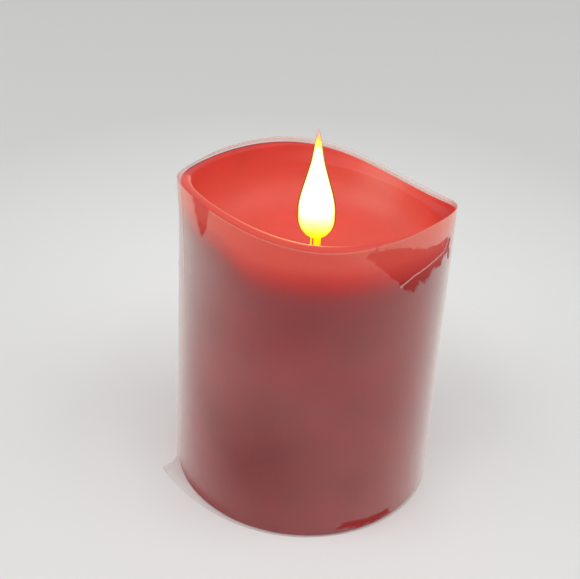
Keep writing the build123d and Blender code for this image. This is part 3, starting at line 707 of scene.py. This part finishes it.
def addDisc(work, centre, outer, inner, thick, axis, around=40):
    # a washer, or a plain disc where inner is 0, lying across the axis
    turn = Matrix.Rotation(math.radians(90), 4, "X") if axis == "Y" else Matrix.Identity(4)
    move = Matrix.Translation(centre) @ turn
    section = [(inner, -thick / 2), (outer, -thick / 2), (outer, thick / 2), (inner, thick / 2)]
    loops = []
    for i in range(around):
        c, s = math.cos(math.tau * i / around), math.sin(math.tau * i / around)
        loops.append([work.verts.new(move @ Vector((r * c, r * s, z))) for r, z in section])
    for i in range(around):
        a, b = loops[i], loops[(i + 1) % around]
        for j in range(4):
            work.faces.new((a[j], b[j], b[(j + 1) % 4], a[(j + 1) % 4]))


def flameMaterial():
    # acrylic, moulded and lit from below: white hot in its belly, yellow at its foot and shoulders,
    # dark amber on its very edge, and clear and pinkish at the tip beyond the light
    material, tree, shader, place = startMaterial("translucent acrylic, moulded", {
        "Roughness": 0.35, "IOR": 1.49})
    split = addNode(tree, "SeparateXYZ", {"Vector": place})
    rise = addNode(tree, "MapRange", {
        "Value": split.outputs["Z"], "From Min": 60 * mm, "From Max": 112 * mm})
    body = addNode(tree, "ValToRGB", {"Fac": rise}, (
        (0.0, "#C07818"), (0.24, "#F2C818"), (0.33, "#FFE600"), (0.36, "#FFEC28"), (0.39, "#FFF26A"),
        (0.45, "#FFF8B4"), (0.54, "#FFFFF2"), (0.85, "#FFFFE8"), (0.88, "#FFF060"), (0.91, "#FFD24A"),
        (0.94, "#F3B98A"), (1.0, "#DDA79C")))
    inset = addNode(tree, "Attribute", attribute_name="inset").outputs["Fac"]
    yellow = addNode(tree, "MapRange", {
        "Value": inset, "From Min": 0.3, "From Max": 1.0, "To Min": 0.9, "To Max": 0.0})
    lowTip = addNode(tree, "MapRange", {
        "Value": rise, "From Min": 0.86, "From Max": 0.9, "To Min": 1.0, "To Max": 0.0})
    gilt = addNode(tree, "Math", {0: yellow, 1: lowTip}, operation="MULTIPLY")
    shoulder = addNode(tree, "Mix", {0: gilt, 6: body, 7: linearColour("#FFE93C")}, data_type="RGBA")
    rim = addNode(tree, "MapRange", {
        "Value": inset, "From Min": 0.14, "From Max": 0.44, "To Min": 1.0, "To Max": 0.0})
    shade = addNode(tree, "Mix", {
        0: rim, 6: shoulder.outputs[2], 7: linearColour("#8A5406")}, data_type="RGBA").outputs[2]
    feed(tree, shader, {"Emission Color": shade, "Base Color": shade})
    level = addNode(tree, "ValToRGB", {"Fac": rise}, (
        (0.0, 0.02), (0.24, 0.1), (0.34, 0.12), (0.39, 0.125), (0.45, 0.14), (0.56, 0.5), (0.62, 0.9),
        (0.82, 0.4), (0.885, 0.13), (0.93, 0.06), (1.0, 0.03)))
    dim = addNode(tree, "MapRange", {
        "Value": inset, "From Min": 0.3, "From Max": 1.6, "To Min": 0.14, "To Max": 1.0})
    dimmed = addNode(tree, "Math", {0: level, 1: dim}, operation="MULTIPLY")
    peak = addNode(tree, "Math", {0: dimmed, 1: 10.0}, operation="MULTIPLY")
    capped = addNode(tree, "Math", {0: level, 1: 0.125}, operation="MINIMUM")
    least = addNode(tree, "Math", {0: capped, 1: 7.5}, operation="MULTIPLY")
    strength = addNode(tree, "Math", {0: peak, 1: least}, operation="MAXIMUM")
    dull = addNode(tree, "MapRange", {"Value": rim, "To Min": 1.0, "To Max": 0.1})
    lit = addNode(tree, "Math", {0: strength, 1: dull}, operation="MULTIPLY")
    clear = addNode(tree, "MapRange", {
        "Value": split.outputs["Z"], "From Min": 105 * mm, "From Max": 109 * mm,
        "To Min": 1.0, "To Max": 0.5})
    grain = addNode(tree, "TexNoise", {"Vector": place, "Scale": 1 / (0.8 * mm), "Detail": 3.0})
    bump = addNode(tree, "Bump", {"Height": grain, "Strength": 0.3, "Distance": 0.01 * mm})
    feed(tree, shader, {"Emission Strength": lit, "Alpha": clear, "Normal": bump})
    return material


def makeFlame(v):
    rings, inset = [], []
    base = v["stations"][0][0]
    for row in range(v["rows"] + 1):
        t = row / v["rows"]
        z = base + (v["tip"] / mm - base) * (0.35 * t + 0.65 * math.sin(t * math.pi / 2))
        half = max(0.08, halfWidth(z, v["stations"])) * mm
        thick = v["halfThick"] * min(1.0, half / (2.2 * mm)) ** 0.6
        centre = -v["lean"] * max(0.0, z - 78.4) * mm
        ring = []
        for i in range(v["around"]):
            angle = math.tau * i / v["around"]
            c, s = math.cos(angle), math.sin(angle)
            x = centre + half * math.copysign(abs(c) ** 0.9, c)
            y = thick * math.copysign(abs(s) ** 0.8, s)
            ring.append((x, y, z * mm))
            narrow = 2 * mm / min(2 * mm, half)
            inset.append((half - abs(x - centre)) / mm * narrow if z > base + 0.6 else v["deepInset"])
        rings.append(ring)
    blade = setOfRings("flameVane", rings, False, {"inset": inset})
    work = bmesh.new()
    work.from_mesh(blade.data)
    work.verts.ensure_lookup_table()
    around, bladePoints = v["around"], len(work.verts)
    work.faces.new([work.verts[i] for i in reversed(range(around))])
    work.faces.new([work.verts[len(work.verts) - around + i] for i in range(around)])
    thin = v["halfThick"]
    slitLow, slitHigh, slitFoot, slitTop = v["slit"]
    addBar(work, (-v["halfNeck"], -thin, slitFoot), (slitLow, thin, slitTop))
    addBar(work, (slitHigh, -thin, slitFoot), (v["halfNeck"], thin, slitTop))
    addBar(work, (-v["halfNeck"], -thin, v["pivot"] + 2.2 * mm), (v["halfNeck"], thin, slitFoot))
    addBar(work, (-v["halfNeck"], -thin, v["footTop"]), (v["halfNeck"], thin, v["pivot"] - 2.2 * mm))
    addDisc(work, (0, 0, v["pivot"]), 2.5 * mm, 0.52 * mm, 2 * thin, "Y")
    middle = (v["footTop"] + v["footLow"]) / 2
    addDisc(work, (0, 0, middle), 3.5 * mm, 0.0, v["footTop"] - v["footLow"], "Z")
    depth = work.verts.layers.float["inset"]
    work.verts.ensure_lookup_table()
    for vertex in work.verts[bladePoints:]:
        vertex[depth] = v["deepInset"]
    bmesh.ops.remove_doubles(work, verts=work.verts, dist=0.001 * mm)
    bmesh.ops.recalc_face_normals(work, faces=work.faces)
    work.to_mesh(blade.data)
    work.free()
    blade.data.materials.append(flameMaterial())
    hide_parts("flame_vane")
    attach(blade, "flame")
    print("flame vane:", len(blade.data.polygons), "faces")


makeFlame(flameValues)

# ---- Drive coil: turns of enamelled wire, wound by a Geometry Nodes tree

coilLow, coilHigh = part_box("drive_coil")
wireRadius = 0.14 * mm
coilValues = {
    "Wire radius": wireRadius,
    "Outer radius": coilHigh.x - wireRadius,
    "Core radius": 3.6 * mm,
    "Low": coilLow.z + wireRadius,
    "High": coilHigh.z - wireRadius,
    "Layers": 16.0,
    "Turns": 19.0,
}


def copperMaterial():
    # enamelled copper wire, drawn: bright orange metal under a thin amber coat
    material, tree, shader, place = startMaterial("enamelled copper wire, drawn", {
        "Metallic": 1.0, "Roughness": 0.3, "Coat Weight": 0.6, "Coat Roughness": 0.12})
    cloud = addNode(tree, "TexNoise", {"Vector": place, "Scale": 1 / (1.5 * mm), "Detail": 3.0})
    colour = addNode(tree, "ValToRGB", {"Fac": cloud}, ((0.3, "#B4623A"), (0.7, "#D48452")))
    rough = addNode(tree, "MapRange", {"Value": cloud, "To Min": 0.22, "To Max": 0.38})
    feed(tree, shader, {"Base Color": colour, "Roughness": rough})
    return material


def addSpiral(tree, start, low, high, first, last, rotations):
    # one run of wire: a helix, or a flat spiral where low and high are the same
    height = addNode(tree, "Math", {0: high, 1: low}, operation="SUBTRACT")
    path = addNode(tree, "GeometryNodeCurveSpiral", {
        "Rotations": rotations, "Start Radius": first, "End Radius": last, "Height": height,
        "Resolution": 32})
    across = addNode(tree, "GeometryNodeCurvePrimitiveCircle", {
        "Resolution": 6, "Radius": start.outputs["Wire radius"]})
    wire = addNode(tree, "GeometryNodeCurveToMesh", {
        "Curve": path, "Profile Curve": across, "Fill Caps": True})
    lift = addNode(tree, "CombineXYZ", {"Z": low})
    return addNode(tree, "GeometryNodeTransform", {"Geometry": wire, "Translation": lift})


def makeWindingTree(values, material):
    tree = bpy.data.node_groups.new("coilWinding", "GeometryNodeTree")
    face = tree.interface
    face.new_socket("Geometry", in_out="INPUT", socket_type="NodeSocketGeometry")
    for name, value in values.items():
        face.new_socket(name, in_out="INPUT", socket_type="NodeSocketFloat").default_value = value
    face.new_socket("Geometry", in_out="OUTPUT", socket_type="NodeSocketGeometry")
    start = addNode(tree, "NodeGroupInput")
    low, high = start.outputs["Low"], start.outputs["High"]
    core, outer = start.outputs["Core radius"], start.outputs["Outer radius"]
    runs = addNode(tree, "GeometryNodeJoinGeometry")
    for spiral in (
        addSpiral(tree, start, low, high, outer, outer, start.outputs["Turns"]),
        addSpiral(tree, start, low, low, core, outer, start.outputs["Layers"]),
        addSpiral(tree, start, high, high, core, outer, start.outputs["Layers"]),
    ):
        feed(tree, runs, {0: spiral})
    real = addNode(tree, "GeometryNodeRealizeInstances", {"Geometry": runs})
    dressed = addNode(tree, "GeometryNodeSetMaterial", {"Geometry": real, "Material": material})
    addNode(tree, "NodeGroupOutput", {"Geometry": dressed})
    return tree


def makeCoil(values, copper):
    coil = bpy.data.objects.new("coilWinding", bpy.data.meshes.new("coilWinding"))
    scene.collection.objects.link(coil)
    bakeTree(coil, makeWindingTree(values, copper), values)
    faceOutwards(coil)
    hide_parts("drive_coil")
    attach(coil, "candle")
    print("coil winding:", len(coil.data.polygons), "faces")


copper = copperMaterial()
makeCoil(coilValues, copper)

# ---- Finishes of the pieces whose CAD shape stays


def dressNode(node, material):
    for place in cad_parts[node].material_slots:
        place.material = material


def plainFinish(name, values, sockets):
    # one material: cloudy colour, uneven gloss and fine relief, each at its real size
    dark, light, cloudSize, grainSize, relief, gloss, *stretch = values
    material, tree, shader, place = startMaterial(name, sockets)
    cloud = addNode(tree, "TexNoise", {"Vector": place, "Scale": 1 / (cloudSize * mm), "Detail": 3.0})
    colour = addNode(tree, "ValToRGB", {"Fac": cloud}, ((0.3, dark), (0.7, light)))
    along = addNode(tree, "Mapping", {"Vector": place, "Scale": stretch or (1.0, 1.0, 1.0)})
    grain = addNode(tree, "TexNoise", {"Vector": along, "Scale": 1 / (grainSize * mm), "Detail": 4.0})
    rough = addNode(tree, "MapRange", {
        "Value": grain, "From Min": 0.3, "From Max": 0.7, "To Min": gloss[0], "To Max": gloss[1]})
    bump = addNode(tree, "Bump", {"Height": grain, "Strength": 0.8, "Distance": relief * mm})
    feed(tree, shader, {"Base Color": colour, "Roughness": rough, "Normal": bump})
    return material


def layOver(material, mask, colour, metallic, roughness):
    # a second finish over the first, where the mask is 1
    tree = material.node_tree
    shader = tree.nodes["Principled BSDF"]
    for key, index, value in (("Base Color", 6, linearColour(colour)), ("Roughness", 2, roughness),
                              ("Metallic", 2, metallic)):
        socket = shader.inputs[key]
        under = socket.links[0].from_socket if socket.links else socket.default_value
        kind, result = ("RGBA", 2) if index == 6 else ("FLOAT", 0)
        mix = addNode(tree, "Mix", {0: mask, index: under, index + 1: value}, data_type=kind)
        feed(tree, shader, {key: mix.outputs[result]})


def objectAxis(material, axis):
    # one coordinate of the piece, in metres
    tree = material.node_tree
    place = addNode(tree, "TexCoord").outputs["Object"]
    return addNode(tree, "SeparateXYZ", {"Vector": place}).outputs[axis]


def band(material, source, low, high):
    # 1 between two values of the source
    tree = material.node_tree
    above = addNode(tree, "Math", {0: source, 1: low}, operation="GREATER_THAN")
    below = addNode(tree, "Math", {0: source, 1: high}, operation="LESS_THAN")
    return addNode(tree, "Math", {0: above, 1: below}, operation="MULTIPLY")


# dark and light colour; cloud, grain and relief in mm; gloss range; and how the grain is drawn out
finishValues = {
    "blackAbs": ("#151516", "#1D1D1E", 9, 0.45, 0.03, (0.48, 0.62)),
    "innerAbs": ("#1B1C1E", "#242527", 12, 0.6, 0.02, (0.42, 0.56)),
    "redAbs": ("#7C1612", "#8E1C16", 8, 0.5, 0.02, (0.4, 0.52)),
    "nylon": ("#DAD4C4", "#E8E2D4", 5, 0.4, 0.015, (0.38, 0.5)),
    "acetal": ("#101011", "#19191A", 3, 0.3, 0.01, (0.28, 0.4)),
    "zincSteel": ("#A9ABAE", "#C6C8CC", 1.4, 0.25, 0.008, (0.26, 0.4)),
    "nickelSteel": ("#B9B6AE", "#D3D0C8", 2.5, 0.2, 0.006, (0.18, 0.3), 1.0, 1.0, 0.2),
    "tinSteel": ("#A6A9AB", "#C0C3C5", 4, 0.3, 0.008, (0.24, 0.38), 0.15, 1.0, 1.0),
    "springWire": ("#A7A8AA", "#C2C3C6", 1, 0.15, 0.004, (0.2, 0.3), 1.0, 0.1, 1.0),
    "nickelPlate": ("#BDBCB8", "#CFCEC9", 2, 0.3, 0.004, (0.1, 0.2)),
    "redPvc": ("#A31A1A", "#B52424", 4, 0.3, 0.01, (0.36, 0.5)),
    "blackPvc": ("#121213", "#1C1C1D", 4, 0.3, 0.01, (0.36, 0.5)),
    "laminate": ("#1B5A30", "#226A3A", 6, 0.5, 0.006, (0.24, 0.34)),
    "phenolic": ("#7A4C26", "#8E5C30", 2.5, 0.35, 0.01, (0.4, 0.55)),
    "epoxy": ("#17181A", "#202224", 1.6, 0.12, 0.008, (0.44, 0.58)),
    "sleeve": ("#14192C", "#1B2138", 3, 0.4, 0.006, (0.16, 0.26)),
    "cellSleeve": ("#3B4046", "#474D54", 8, 0.7, 0.006, (0.2, 0.3)),
}
metal = {"Metallic": 1.0}
plastic = {"IOR": 1.5}


def boardMaterial(values):
    # glass-epoxy laminate, solder-masked: glossy green with paler copper tracks under it, and bare
    # and straw-coloured at its cut edges
    material = plainFinish("glass-epoxy laminate, solder-masked", values, plastic)
    tree = material.node_tree
    place = addNode(tree, "TexCoord").outputs["Object"]
    tracks = addNode(tree, "TexBrick", {
        "Vector": place, "Scale": 1.0, "Mortar Size": 0.28 * mm, "Brick Width": 7.62 * mm,
        "Row Height": 2.54 * mm})
    layOver(material, tracks.outputs["Fac"], "#3C8C50", 0.0, 0.28)
    pads = addNode(tree, "TexVoronoi", {"Vector": place, "Scale": 1 / (3.6 * mm)})
    pad = addNode(tree, "Math", {0: pads.outputs["Distance"], 1: 0.16}, operation="LESS_THAN")
    layOver(material, pad, "#C4C4BE", 1.0, 0.3)
    normal = addNode(tree, "NewGeometry").outputs["Normal"]
    upright = addNode(tree, "SeparateXYZ", {"Vector": normal}).outputs["Z"]
    level = addNode(tree, "Math", {0: upright}, operation="ABSOLUTE")
    cut = addNode(tree, "Math", {0: level, 1: 0.5}, operation="LESS_THAN")
    layOver(material, cut, "#B8A468", 0.0, 0.6)
    return material


def terminalMaterial(values):
    # phenolic paper board, punched, with tinned terminals standing on it
    material = plainFinish("phenolic paper, punched", values, plastic)
    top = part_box("switch_terminals")[1].z
    layOver(material, band(material, objectAxis(material, "Z"), top - 1.78 * mm, 1.0), "#C2C4C6", 1.0, 0.3)
    return material


def chipMaterial(values):
    # filled epoxy, transfer-moulded: dull black, with tinned legs along both sides
    material = plainFinish("filled epoxy, moulded, tinned legs", values, plastic)
    tree = material.node_tree
    low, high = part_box("control_chip")
    middle = (low.y + high.y) / 2
    side = addNode(tree, "Math", {0: objectAxis(material, "Y"), 1: middle}, operation="SUBTRACT")
    away = addNode(tree, "Math", {0: side}, operation="ABSOLUTE")
    layOver(material, band(material, away, 1.96 * mm, 1.0), "#C4C6C8", 1.0, 0.3)
    return material


def transistorMaterial(values):
    # the same epoxy over three tinned legs
    material = plainFinish("filled epoxy, moulded over legs", values, plastic)
    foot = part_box("coil_transistor")[0].z
    layOver(material, band(material, objectAxis(material, "Z"), 0.0, foot + 2.0 * mm), "#C4C6C8", 1.0, 0.3)
    return material


def resistorMaterial(values):
    # thick-film resistor, fired: black glaze between plated ends, repeated at the parts' own pitch
    material = plainFinish("thick-film resistor, fired", values, plastic)
    tree = material.node_tree
    pitch = 3.2 * mm
    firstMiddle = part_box("chip_resistors")[0].x + 1.0 * mm
    fromFirst = addNode(tree, "Math", {0: objectAxis(material, "X"), 1: firstMiddle}, operation="SUBTRACT")
    within = addNode(tree, "Math", {0: fromFirst, 1: pitch / 2}, operation="PINGPONG")
    layOver(material, band(material, within, 0.62 * mm, 1.0), "#C8C8C4", 1.0, 0.35)
    return material


def capacitorMaterial(values):
    # shrink sleeve over drawn aluminium: glossy dark blue with a pale polarity stripe and a bare metal crown
    material = plainFinish("shrink sleeve over drawn aluminium", values, plastic)
    tree = material.node_tree
    low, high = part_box("smoothing_capacitor")
    layOver(material, band(material, objectAxis(material, "X"), high.x - 0.55 * mm, 1.0), "#B9BEC8", 0.0, 0.3)
    squares = []
    for axis, middle in (("X", (low.x + high.x) / 2), ("Y", (low.y + high.y) / 2)):
        across = addNode(tree, "Math", {0: objectAxis(material, axis), 1: middle}, operation="SUBTRACT")
        squares.append(addNode(tree, "Math", {0: across, 1: across}, operation="MULTIPLY"))
    both = addNode(tree, "Math", {0: squares[0], 1: squares[1]}, operation="ADD")
    inner = band(material, addNode(tree, "Math", {0: both}, operation="SQRT"), -1.0, 2.0 * mm)
    top = band(material, objectAxis(material, "Z"), high.z - 0.2 * mm, 1.0)
    crown = addNode(tree, "Math", {0: inner, 1: top}, operation="MULTIPLY")
    layOver(material, crown, "#C8CACC", 1.0, 0.32)
    return material


def cellMaterial(values, node, towards):
    # shrink-sleeved steel can: dark grey sleeve with a paler ring at the positive end, and bare plated ends
    material = plainFinish("shrink-sleeved steel can, " + node.split("_")[1], values, plastic)
    tree = material.node_tree
    low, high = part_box(node)
    length = high.x - low.x
    end = high.x if towards > 0 else low.x
    past = addNode(tree, "Math", {0: objectAxis(material, "X"), 1: end}, operation="SUBTRACT")
    fromEnd = addNode(tree, "Math", {0: past, 1: -towards}, operation="MULTIPLY")
    layOver(material, band(material, fromEnd, 0.0, 11.0 * mm), "#A9ADB2", 0.0, 0.25)
    layOver(material, band(material, fromEnd, -1.0, 1.9 * mm), "#C9C8C2", 1.0, 0.24)
    layOver(material, band(material, fromEnd, length - 0.6 * mm, 1.0), "#C9C8C2", 1.0, 0.24)
    return material


def lampMaterial():
    # clear epoxy, cast, over tinned legs: a small warm-white lens, bright at its core
    material, tree, shader, place = startMaterial("clear epoxy lens, cast", {
        "Roughness": 0.12, "IOR": 1.53, "Transmission Weight": 0.35})
    height = addNode(tree, "SeparateXYZ", {"Vector": place}).outputs["Z"]
    low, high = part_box("flame_lamp")
    rise = addNode(tree, "MapRange", {"Value": height, "From Min": low.z, "From Max": high.z})
    cloud = addNode(tree, "TexNoise", {"Vector": place, "Scale": 1 / (0.9 * mm)})
    tint = addNode(tree, "ValToRGB", {"Fac": cloud}, ((0.3, "#FFE6B4"), (0.7, "#FFF0D0")))
    legs = addNode(tree, "Math", {0: rise, 1: 0.44}, operation="LESS_THAN")
    colour = addNode(tree, "Mix", {0: legs, 6: tint, 7: linearColour("#C2C4C6")}, data_type="RGBA")
    lit = addNode(tree, "ValToRGB", {"Fac": rise}, ((0.0, 0.0), (0.44, 0.0), (0.5, 0.35), (0.8, 1.0)))
    strength = addNode(tree, "Math", {0: lit, 1: 3.0}, operation="MULTIPLY")
    feed(tree, shader, {
        "Base Color": colour.outputs[2], "Metallic": legs, "Emission Strength": strength,
        "Emission Color": linearColour("#FFD98A")})
    return material


v = finishValues
# black ABS, spark-eroded mould: even fine grain, low sheen; the inner frame is smoother
dressed = {("base_plate", "battery_door"): plainFinish("ABS, moulded, spark-eroded", v["blackAbs"], plastic)}
dressed["core_frame",] = plainFinish("ABS, moulded, inner", v["innerAbs"], plastic)
dressed["flame_holder",] = plainFinish("ABS, moulded, dyed red", v["redAbs"], plastic)
# nylon and acetal, moulded: creamy and a little see-through, and slippery black
dressed["coil_bobbin",] = plainFinish("nylon, moulded", v["nylon"], plastic)
dressed["switch_knob",] = plainFinish("acetal, moulded", v["acetal"], plastic)
# zinc-plated steel, cold-headed: bluish bright, faintly mottled
dressed["base_screws", "board_screws", "switch_screws"] = plainFinish(
    "zinc-plated steel, cold-headed", v["zincSteel"], metal)
# nickel-plated spring steel, stamped and coiled: warm bright metal with fine drawn lines
dressed["positive_contact", "negative_contact", "bridge_contact"] = plainFinish(
    "nickel-plated spring steel, stamped", v["nickelSteel"], metal)
# folded sheet with soft rolled lines, wire with lines along it, and a magnet ground almost to a mirror
dressed["switch_can",] = plainFinish("tinned steel sheet, folded", v["tinSteel"], metal)
dressed["pivot_wire",] = plainFinish("stainless spring wire, drawn", v["springWire"], metal)
dressed["swing_magnet",] = plainFinish("nickel-plated magnet, ground", v["nickelPlate"], metal)
# PVC insulation, extruded: even colour, satin
dressed["red_battery_lead", "switch_lead_on", "lamp_lead_red"] = plainFinish(
    "PVC, extruded, red", v["redPvc"], plastic)
dressed["black_battery_lead", "switch_lead_common", "switch_lead_timer", "lamp_lead_black"] = plainFinish(
    "PVC, extruded, black", v["blackPvc"], plastic)
dressed["coil_lead_left", "coil_lead_right"] = copper
dressed["circuit_board",] = boardMaterial(v["laminate"])
dressed["switch_terminals",] = terminalMaterial(v["phenolic"])
dressed["control_chip",] = chipMaterial(v["epoxy"])
dressed["coil_transistor",] = transistorMaterial(v["epoxy"])
dressed["chip_resistors",] = resistorMaterial(v["epoxy"])
dressed["smoothing_capacitor",] = capacitorMaterial(v["sleeve"])
dressed["battery_left",] = cellMaterial(v["cellSleeve"], "battery_left", 1)
dressed["battery_right",] = cellMaterial(v["cellSleeve"], "battery_right", -1)
dressed["flame_lamp",] = lampMaterial()
for nodes, material in dressed.items():
    for node in nodes:
        dressNode(node, material)
print("finishes laid on", sum(len(nodes) for nodes in dressed), "pieces")
